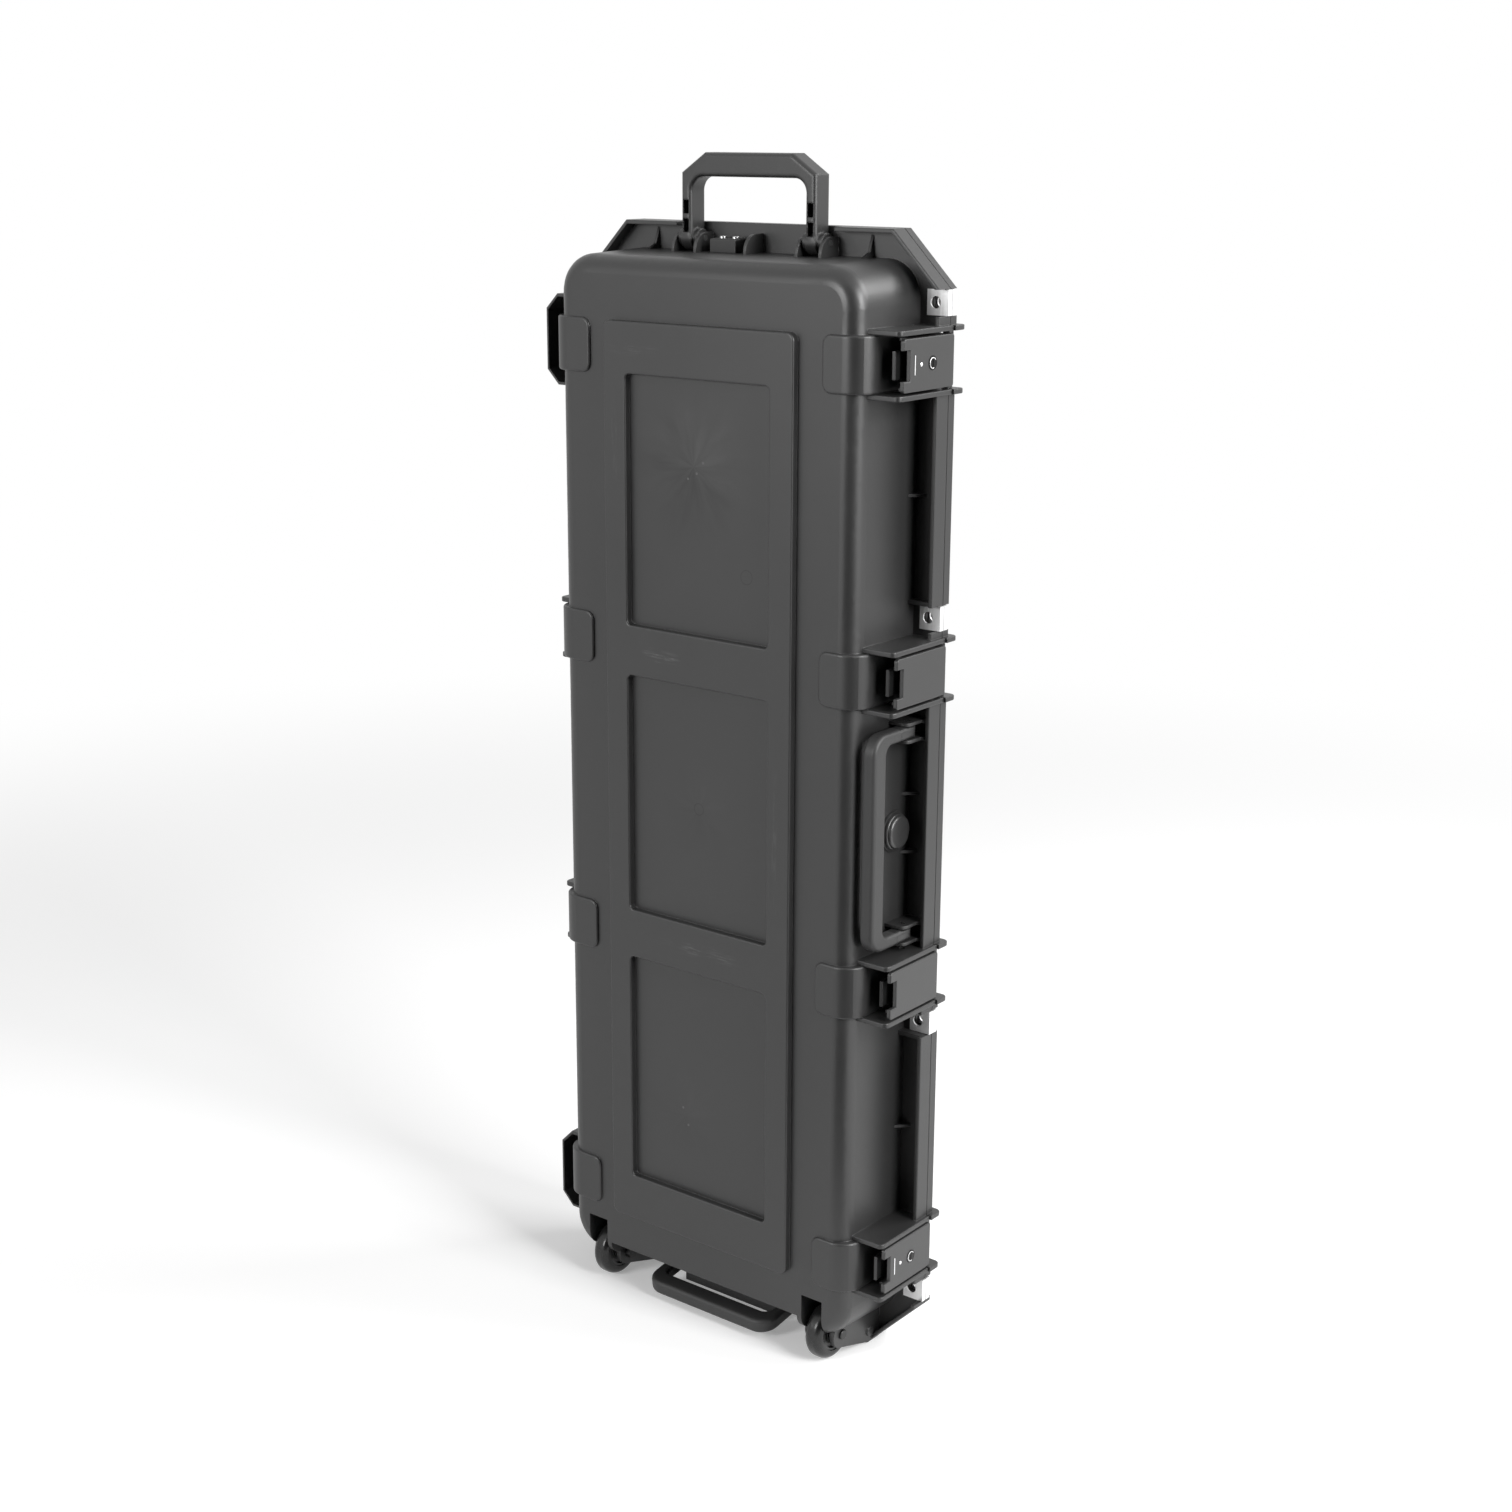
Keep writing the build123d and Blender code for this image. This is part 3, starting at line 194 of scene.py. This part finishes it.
# Marks on the front, as places on X and Z: fans of flow lines with their sheen painted in (reach, strength),
# rings (radius), specks, and rubbed streaks (half width, half height, strength). The sheen values make each
# fan lighter towards the upper right: a painted highlight
marks = {
    "fans": [(-0.008, 0.920, 0.095, 2.00), (-0.002, 0.574, 0.060, 0.50), (-0.020, 0.235, 0.060, 0.40)],
    "rings": [(0.058, 0.819, 0.0070), (-0.002, 0.574, 0.0060)],
    "specks": [(-0.024, 0.242), (-0.017, 0.224), (-0.004, 0.914), (0.004, 0.925), (-0.015, 0.908)],
    "rubs": [(-0.045, 0.727, 0.030, 0.009, 0.20), (0.010, 0.425, 0.070, 0.010, 0.09),
             (-0.104, 0.940, 0.005, 0.060, 0.06), (-0.080, 1.030, 0.040, 0.008, 0.07),
             (0.100, 0.560, 0.005, 0.110, 0.05)],
    "speckSize": 0.0016, "speckShade": 4.5, "ringWidth": 0.0006, "ringShade": 0.8,
    "rayScale": 2.6, "rayDrift": 6, "rayShare": 1.6, "rayMiddle": 0.0001,
    "sheenShare": 0.45, "sheenTowards": (0.6, 0.8), "sheenMiddle": 0.004,
}


def distance(paint, x, z, place):
    right, up = x - place[0], z - place[1]
    return right, up, paint.sum("SQRT", right * right + up * up)


def casePlastic():
    paint, shade, roughness, normal = mouldedPlastic("casePlastic", plastics["casePlastic"])
    x, z = paint.axis("X"), paint.axis("Z")
    change = 0
    # Fans: radial flow lines from the gate. They are partly real marks and partly their sheen, painted into
    # the colour as painted highlight and painted shade
    for place in marks["fans"]:
        right, up, away = distance(paint, x, z, place)
        fade = 1 - paint.band(away, 0.1 * place[2], place[2])
        least = away + marks["rayMiddle"]
        sockets = {0: right / least, 1: marks["rayDrift"] * away, 2: up / least}
        heading = paint.add("CombineXYZ", sockets=sockets)
        rays = paint.add("TexNoise", sockets={"Vector": heading, "Scale": marks["rayScale"], "Detail": 4})
        # Painted highlight: each fan is lighter on its upper right side and darker on its lower left side
        sheen = (marks["sheenTowards"][0] * right + marks["sheenTowards"][1] * up) / (away + marks["sheenMiddle"])
        change = change + place[3] * fade * (marks["rayShare"] * (rays - 0.5) + marks["sheenShare"] * sheen)
    for place in marks["rings"]:
        away = distance(paint, x, z, place)[2]
        off = paint.sum("ABSOLUTE", away - place[2])
        ring = 1 - paint.band(off, 0.3 * marks["ringWidth"], marks["ringWidth"])
        change = change - marks["ringShade"] * ring
    for place in marks["specks"]:
        away = distance(paint, x, z, place)[2]
        speck = 1 - paint.band(away, 0.4 * marks["speckSize"], marks["speckSize"])
        change = change + marks["speckShade"] * speck
    across = paint.noise(360, 5, stretch=(0.10, 1, 1), shift=(0.7, 0, 2.2), roughness=0.7)
    along = paint.noise(360, 5, stretch=(1, 1, 0.10), shift=(1.7, 0, 0.2), roughness=0.7)
    patch = paint.band(paint.noise(48, 3, stretch=(1, 1, 1), shift=(0.4, 0, 1.1)), 0.30, 0.62)
    rubbed = 0
    for place in marks["rubs"]:
        wide = 1 - paint.band(paint.sum("ABSOLUTE", x - place[0]), 0, place[2])
        tall = 1 - paint.band(paint.sum("ABSOLUTE", z - place[1]), 0, place[3])
        streak = across if place[2] > place[3] else along
        rubbed = rubbed + place[4] * wide * tall * paint.band(streak, 0.42, 0.80)
    rubbed = rubbed * patch
    facing = 1 - paint.band(paint.axis("Y"), case["frontFrom"], case["frontTo"])
    shade = shade * (1 + facing * change) + facing * rubbed
    roughness = roughness + 0.6 * facing * rubbed - 0.03 * facing * change
    return paint.finish(colour=shade, roughness=roughness, normal=normal, gloss=0.6)


def softRubber(name, shade, roughness, grain):
    paint = newPaint(name)
    cloud = paint.noise(16, 4)
    fine = paint.noise(900, 3)
    dust = paint.band(paint.noise(120, 6, roughness=0.7), 0.62, 0.8)
    colour = shade * (1 + 0.2 * (2 * cloud - 1)) + 0.008 * dust
    return paint.finish(colour=colour, roughness=roughness + 0.12 * (cloud - 0.5) + 0.1 * dust,
                        normal=paint.bump(fine, grain, 0.7), gloss=0.4)


def brushedSteel(name, shade, roughness, stretch, metallic=1.0):
    paint = newPaint(name)
    lines = paint.noise(600, 3, stretch=stretch)
    stain = paint.noise(45, 4)
    colour = shade * (1 + 0.10 * (lines - 0.5) + 0.12 * (stain - 0.5))
    roughness = roughness + 0.18 * (lines - 0.5) + 0.1 * (stain - 0.5)
    normal = paint.bump(lines, 0.00003, 0.5)
    return paint.finish(colour=colour, metallic=metallic, roughness=roughness, normal=normal)


def openCellFoam():
    paint = newPaint("openCellFoam")
    cells = paint.add("TexVoronoi", {"feature": "F1"}, {"Vector": paint.place, "Scale": 620})
    crumbs = paint.noise(240, 4, roughness=0.7)
    cloud = paint.noise(11, 3)
    shade = 0.020 + 0.022 * cells + 0.014 * (crumbs - 0.5) + 0.008 * (cloud - 0.5)
    normal = paint.bump(cells + 0.6 * crumbs, 0.0010, 0.8)
    return paint.finish(colour=shade, roughness=0.92, normal=normal, gloss=0.15)


finishes = {
    "case_plastic": casePlastic(),
    "latch_plastic": plainPlastic("latchPlastic"),
    "trigger_plastic": plainPlastic("triggerPlastic"),
    "handle_plastic": plainPlastic("handlePlastic"),
    "hub_plastic": plainPlastic("hubPlastic"),
    "valve_plastic": plainPlastic("valvePlastic"),
    "grip_rubber": softRubber("gripRubber", 0.034, 0.50, 0.00008),
    "wheel_tyre": softRubber("wheelTyre", 0.014, 0.26, 0.00004),
    "gasket_rubber": softRubber("gasketRubber", 0.020, 0.62, 0.00006),
    "plate_steel": brushedSteel("plateSteel", 0.90, 0.34, (1, 1, 0.08), metallic=0.7),
    "pin_steel": brushedSteel("pinSteel", 0.55, 0.28, (1, 1, 0.08)),
    "lock_metal": brushedSteel("lockMetal", 0.030, 0.26, (0.1, 1, 1)),
    "axle_steel": brushedSteel("axleSteel", 0.06, 0.36, (0.1, 1, 1)),
    "foam": openCellFoam(),
}
print("finishes:", len(finishes))


def dress(thing, slot):
    thing.data.materials.clear()
    thing.data.materials.append(finishes[slot])


# What each CAD node is made of
madeOf = {
    "case_plastic": ["base_shell", "base_right_edge", "base_left_edge", "base_head_edge",
                     "lid_shell", "lid_right_edge"],
    "latch_plastic": ["latch_1", "latch_2", "latch_3", "latch_4"],
    "trigger_plastic": ["trigger_1", "trigger_2", "trigger_3", "trigger_4", "handle_stop"],
    "handle_plastic": ["tow_handle", "side_handle_frame", "bottom_handle_frame"],
    "grip_rubber": ["side_handle_grip", "bottom_handle_grip"],
    "plate_steel": ["lock_plates_base", "lock_plates_lid"],
    "pin_steel": ["hinge_pins", "latch_pins", "side_handle_pins", "bottom_handle_pins", "tow_handle_pins",
                  "handle_stop_screws", "wheel_bearings_right", "wheel_bearings_left",
                  *[f"trigger_{part}_{n}" for part in ("pin", "spring") for n in (1, 2, 3, 4)]],
    "lock_metal": ["lock_cylinder_1", "lock_cylinder_4"],
    "axle_steel": ["axles", "axle_nuts"],
    "wheel_tyre": ["tyre_right", "tyre_left"],
    "hub_plastic": ["wheel_hub_right", "wheel_hub_left"],
    "valve_plastic": ["valve_body", "valve_cap", "valve_nut"],
    "gasket_rubber": ["rim_gasket"],
    "foam": ["base_foam_tray", "lid_foam_pad", "neck_cradle"],
}
for slot, members in madeOf.items():
    for name in members:
        dress(nodes[name], slot)
print("nodes dressed:", sum(len(m) for m in madeOf.values()))


def pieceFrom(bm, name, slot, body, smooth=40):
    bmesh.ops.recalc_face_normals(bm, faces=bm.faces)
    mesh = bpy.data.meshes.new(name)
    bm.to_mesh(mesh)
    bm.free()
    thing = bpy.data.objects.new(name, mesh)
    bpy.context.scene.collection.objects.link(thing)
    if smooth:
        mesh.shade_smooth()
        mesh.set_sharp_from_angle(angle=math.radians(smooth))
    dress(thing, slot)
    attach(thing, body)
    return thing


# Cut foam, with the crisp CAD edges softened
tray = {"voxel": 0.005, "smoothing": 4}


def softCopy(node, name, voxel, rounds):
    bm = bmesh.new()
    bm.from_mesh(nodes[node].data)
    bmesh.ops.remove_doubles(bm, verts=bm.verts, dist=0.00001)
    mesh = bpy.data.meshes.new(name + "Raw")
    bm.to_mesh(mesh)
    bm.free()
    raw = bpy.data.objects.new(name + "Raw", mesh)
    bpy.context.scene.collection.objects.link(raw)
    remesh = raw.modifiers.new("remesh", "REMESH")
    remesh.mode = "VOXEL"
    remesh.voxel_size = voxel
    view = bpy.context.evaluated_depsgraph_get()
    done = bpy.data.meshes.new_from_object(raw.evaluated_get(view))
    bpy.data.objects.remove(raw)
    bm = bmesh.new()
    bm.from_mesh(done)
    for _ in range(rounds):
        bmesh.ops.smooth_vert(bm, verts=bm.verts, factor=0.5,
                              use_axis_x=True, use_axis_y=True, use_axis_z=True)
    return bm


trayFoam = pieceFrom(softCopy("base_foam_tray", "foamTray", tray["voxel"], tray["smoothing"]),
                     "foamTray", "foam", "base", smooth=180)
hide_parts("base_foam_tray")

# Lid pad with egg-shaped bumps
lidPad = {"pitch": 0.032, "depth": 0.016, "steps": 6, "border": 0.012, "corner": 0.033}


def eggCrate(low, high):
    width, height = high.x - low.x, high.z - low.z
    across = round(width / lidPad["pitch"]) * lidPad["steps"]
    up = round(height / lidPad["pitch"]) * lidPad["steps"]
    bm = bmesh.new()
    bmesh.ops.create_grid(bm, x_segments=across, y_segments=up, size=0.5)
    turn = Matrix.Rotation(math.radians(90), 4, "X")
    centre = Matrix.Translation(((low.x + high.x) / 2, low.y, (low.z + high.z) / 2))
    bmesh.ops.transform(bm, matrix=centre @ turn @ Matrix.Diagonal((width, height, 1, 1)), verts=bm.verts)
    front = list(bm.verts)
    made = bmesh.ops.extrude_face_region(bm, geom=list(bm.faces))
    back = [v for v in made["geom"] if isinstance(v, bmesh.types.BMVert)]
    bmesh.ops.translate(bm, vec=(0, high.y - low.y, 0), verts=back)
    corner = lidPad["corner"]
    for v in bm.verts:
        dx, dz = v.co.x - centre.translation.x, v.co.z - centre.translation.z
        ox, oz = abs(dx) - (width / 2 - corner), abs(dz) - (height / 2 - corner)
        reach = math.hypot(ox, oz)
        if ox > 0 and oz > 0 and reach > corner:
            v.co.x = centre.translation.x + math.copysign(width / 2 - corner + ox * corner / reach, dx)
            v.co.z = centre.translation.z + math.copysign(height / 2 - corner + oz * corner / reach, dz)
    for v in front:
        dx, dz = v.co.x - centre.translation.x, v.co.z - centre.translation.z
        edge = min(width / 2 - abs(dx), height / 2 - abs(dz))
        rise = min(1, max(0, edge / lidPad["border"]))
        wave = math.cos(2 * math.pi * dx / lidPad["pitch"]) * math.cos(2 * math.pi * dz / lidPad["pitch"])
        v.co.y += lidPad["depth"] * rise * (0.5 - 0.5 * wave)
    return bm


low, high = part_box("lid_foam_pad")
lidFoam = pieceFrom(eggCrate(low, high), "lidFoamPad", "foam", "lid", smooth=180)
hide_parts("lid_foam_pad")

# Neck cradle: a soft block with a shallow trough
cradle = {"steps": 12, "trough": 0.003, "edge": 0.0022}


def troughBlock(low, high):
    bm = bmesh.new()
    bmesh.ops.create_cube(bm, size=1)
    size = high - low
    middle = (low + high) / 2
    bmesh.ops.transform(bm, matrix=Matrix.Translation(middle) @ Matrix.Diagonal((*size, 1)), verts=bm.verts)
    bmesh.ops.bevel(bm, geom=list(bm.edges), offset=cradle["edge"], affect="EDGES",
                    segments=3, profile=0.5, material=-1)
    for share in range(1, cradle["steps"]):
        at = low.x + share * size.x / cradle["steps"]
        everything = list(bm.verts) + list(bm.edges) + list(bm.faces)
        bmesh.ops.bisect_plane(bm, geom=everything, plane_co=(at, 0, 0), plane_no=(1, 0, 0))
    for v in bm.verts:
        if v.co.y > middle.y:
            off = (v.co.x - middle.x) / (size.x / 2)
            v.co.y -= cradle["trough"] * max(0, 1 - off * off)
    return bm


low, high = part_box("neck_cradle")
cradleFoam = pieceFrom(troughBlock(low, high), "neckCradle", "foam", "base", smooth=60)
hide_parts("neck_cradle")
print("foam: tray, lid pad and cradle")

# A small raised line and a rivet on the two latches that have locks
latchMarks = {
    "line": 0.0175, "lineSize": (0.0003, 0.0012, 0.018),
    "rivet": 0.028, "rivetRadius": 0.0019, "rivetRise": 0.4,
}


def latchMark(number):
    level, face, free = case["latchLevels"][number - 1], case["latchFace"], case["latchFree"]
    bm = bmesh.new()
    place = Matrix.Translation((face + latchMarks["lineSize"][0] / 2, free + latchMarks["line"], level))
    bmesh.ops.create_cube(bm, size=1, matrix=place @ Matrix.Diagonal((*latchMarks["lineSize"], 1)))
    place = Matrix.Translation((face, free + latchMarks["rivet"], level))
    flat = Matrix.Diagonal((latchMarks["rivetRise"], 1, 1, 1))
    bmesh.ops.create_uvsphere(bm, u_segments=20, v_segments=12, radius=latchMarks["rivetRadius"],
                              matrix=place @ flat)
    return pieceFrom(bm, f"latchMark{number}", "plate_steel", f"latch_{number}")


# A painted highlight: a bright open arc of steel on the face of each lock, only where light catches the
# lock's bevelled rim
lockHighlightArc = {"place": 0.0463, "radius": 0.0049, "wire": 0.0004, "turn": 250, "start": 35, "steps": 24}


def lockHighlightPiece(number):
    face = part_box(f"lock_cylinder_{number}")[1].x
    middle = Vector((face, case["latchFree"] + lockHighlightArc["place"], case["latchLevels"][number - 1]))
    start = math.radians(lockHighlightArc["start"])
    bm = bmesh.new()
    bmesh.ops.create_circle(bm, segments=8, radius=lockHighlightArc["wire"], cap_ends=True)
    out = Matrix.Translation((0, lockHighlightArc["radius"], 0))
    place = Matrix.Translation(middle) @ Matrix.Rotation(start, 4, "X") @ out
    bmesh.ops.transform(bm, matrix=place, verts=bm.verts)
    # The arc stops short of a full ring and leaves out the part of the rim that stays unlit
    bmesh.ops.spin(bm, geom=list(bm.faces), cent=middle, axis=(1, 0, 0), angle=math.radians(lockHighlightArc["turn"]),
                   steps=lockHighlightArc["steps"])
    return pieceFrom(bm, f"lockHighlightArc{number}", "plate_steel", f"lock_{number}")


for number in (1, 4):
    latchMark(number)
    lockHighlightPiece(number)
print("latch and lock marks")

# Camera, at the photograph's angle
camera = {
    "place": (1.4201, -1.7988, 1.2470), "azimuth": 39.059, "elevation": 15.418,
    "lens": 55.089, "shift": (0.0278, 0.0001),
}
cameraData = bpy.data.cameras.new("camera")
cameraData.lens = camera["lens"]
cameraData.shift_x, cameraData.shift_y = camera["shift"]
cameraData.clip_start, cameraData.clip_end = 0.05, 60
cameraObject = bpy.data.objects.new("camera", cameraData)
bpy.context.scene.collection.objects.link(cameraObject)
azimuth, elevation = math.radians(camera["azimuth"]), math.radians(camera["elevation"])
level = math.cos(elevation)
ahead = Vector((-math.sin(azimuth) * level, math.cos(azimuth) * level, -math.sin(elevation)))
cameraObject.location = camera["place"]
cameraObject.rotation_euler = ahead.to_track_quat("-Z", "Y").to_euler()
bpy.context.scene.camera = cameraObject

# Studio: pale floor, soft lamps, white surroundings
studio = {
    "floorHalf": 14.0, "floorLevel": -0.0005, "floorShade": 0.80, "floorGlow": 0.28,
    "farFrom": 1.2, "farTo": 3.1, "roomShade": 0.30, "cardShade": 0.004,
    "lamps": [
        {"name": "keyRight", "place": (2.8, -0.30, 1.9), "size": (1.2, 1.8), "power": 112, "aim": 0.6},
        {"name": "fillFront", "place": (-0.75, -3.1, 1.6), "size": (1.0, 1.0), "power": 52, "aim": 0.8},
        {"name": "topBack", "place": (1.9, 1.5, 2.6), "size": (1.8, 1.4), "power": 66, "aim": 0.9},
    ],
    "flags": [
        {"name": "flagRight", "start": 2, "end": 66, "near": 3.2, "far": 3.2, "low": 0.0, "high": 3.6},
        {"name": "flagFloor", "start": 2, "end": 66, "near": 0.55, "far": 3.2, "low": 0.001, "high": 0.001},
    ],
}


def seen(paint):
    rays = [paint.add("LightPath", out=f"Is {kind} Ray") for kind in ("Camera", "Glossy", "Transmission")]
    return paint.sum("MINIMUM", rays[0] + rays[1] + rays[2], 1.0)


def floorFinish():
    paint = newPaint("floorFinish")
    x, y = paint.axis("X"), paint.axis("Y")
    far = paint.band(paint.sum("SQRT", x * x + y * y), studio["farFrom"], studio["farTo"])
    lit = paint.add("BsdfDiffuse", sockets={"Color": paint.mix(far, 3 * (studio["floorShade"],), (0, 0, 0))})
    shine = seen(paint) * (studio["floorGlow"] + (1 - studio["floorGlow"]) * far)
    glow = paint.add("Emission", sockets={"Color": 1.0, "Strength": shine})
    both = paint.add("AddShader", sockets={0: lit, 1: glow})
    paint.add("OutputMaterial", sockets={"Surface": both})
    return paint.block


def stagePiece(bm, name, finish):
    mesh = bpy.data.meshes.new(name)
    bm.to_mesh(mesh)
    bm.free()
    mesh.materials.append(finish)
    thing = bpy.data.objects.new(name, mesh)
    bpy.context.scene.collection.objects.link(thing)
    return thing


bm = bmesh.new()
low = Matrix.Translation((0, 0, studio["floorLevel"]))
bmesh.ops.create_grid(bm, x_segments=1, y_segments=1, size=studio["floorHalf"], matrix=low)
stagePiece(bm, "floor", floorFinish())


# Black cards that only reflections and stray light meet, so the camera never sees them
def blackCard():
    paint = newPaint("blackCard")
    dark = paint.add("BsdfDiffuse", sockets={"Color": studio["cardShade"]})
    paint.add("OutputMaterial", sockets={"Surface": dark})
    return paint.block


def flag(values, finish):
    bm = bmesh.new()
    start = math.radians(values["start"])
    ends = [(values["near"], values["low"]), (values["far"], values["high"])]
    edge = [bm.verts.new((r * math.sin(start), -r * math.cos(start), z)) for r, z in ends]
    line = bm.edges.new(edge)
    angle = math.radians(values["end"] - values["start"])
    bmesh.ops.spin(bm, geom=[*edge, line], cent=(0, 0, 0), axis=(0, 0, 1), angle=angle, steps=16)
    card = stagePiece(bm, values["name"], finish)
    card.visible_camera = card.visible_shadow = card.visible_transmission = False


cardFinish = blackCard()
for values in studio["flags"]:
    flag(values, cardFinish)

for lamp in studio["lamps"]:
    data = bpy.data.lights.new(lamp["name"], "AREA")
    data.shape = "RECTANGLE"
    data.size, data.size_y = lamp["size"]
    data.energy = lamp["power"]
    thing = bpy.data.objects.new(lamp["name"], data)
    bpy.context.scene.collection.objects.link(thing)
    thing.location = lamp["place"]
    thing.rotation_euler = (Vector((0, 0, lamp["aim"])) - thing.location).to_track_quat("-Z", "Y").to_euler()

world = bpy.data.worlds.new("studio")
bpy.context.scene.world = world
sky = Paint(world)
strength = studio["roomShade"] + (1 - studio["roomShade"]) * seen(sky)
surround = sky.add("Background", sockets={"Color": 1.0, "Strength": strength})
sky.add("OutputWorld", sockets={"Surface": surround})
bpy.context.scene.view_settings.view_transform = "Standard"
print("camera and studio")
